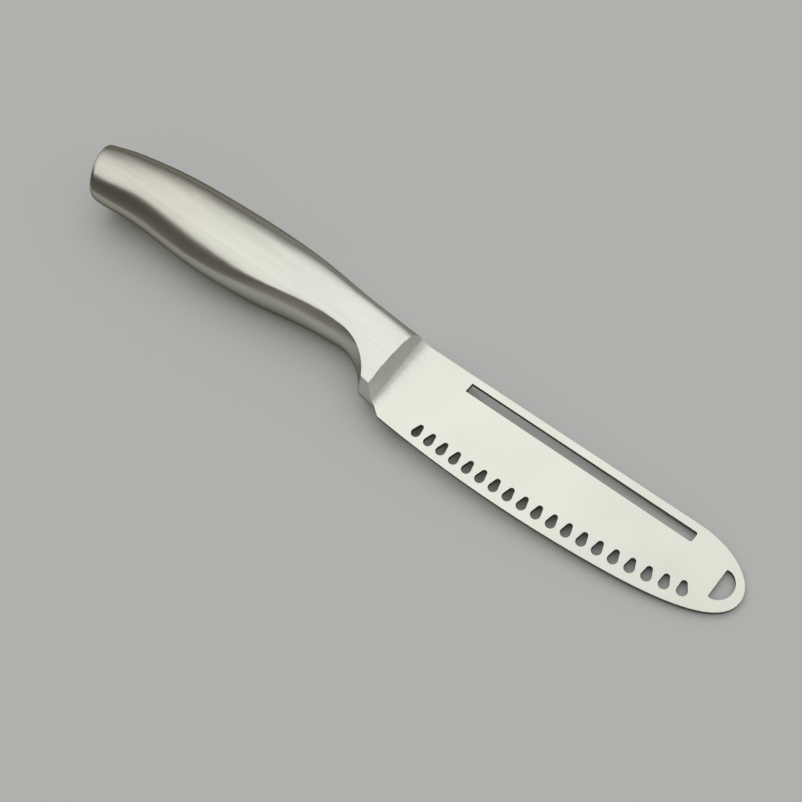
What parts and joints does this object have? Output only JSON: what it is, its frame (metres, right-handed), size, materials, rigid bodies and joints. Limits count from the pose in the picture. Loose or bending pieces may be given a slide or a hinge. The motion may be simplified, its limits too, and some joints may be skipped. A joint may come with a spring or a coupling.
{
  "type": "butter knife",
  "caption": "Round-tipped butter knife: slotted, perforated sheet blade, bolster with finger guard, and a hollow stainless handle with a slanted end cap.",
  "frame": {"origin": "middle of the knife's outline, on the lowest point of the handle's side as it lies flat", "axes": "+X from the butt to the blade's tip, +Y from the cutting edge to the spine, +Z out of the blade's upper face"},
  "size_m": [0.2466, 0.0324, 0.0174],
  "materials": {
    "blade_steel": "satin, brushed across the blade",
    "bolster_steel": "satin",
    "handle_steel": "satin, brushed along the handle",
    "cap_steel": "satin"
  },
  "bodies": {
    "root": {"blade": "blade_steel", "bolster": "bolster_steel", "handle_shell_right": "handle_steel", "handle_shell_left": "handle_steel", "end_cap": "cap_steel"}
  },
  "joints": []
}
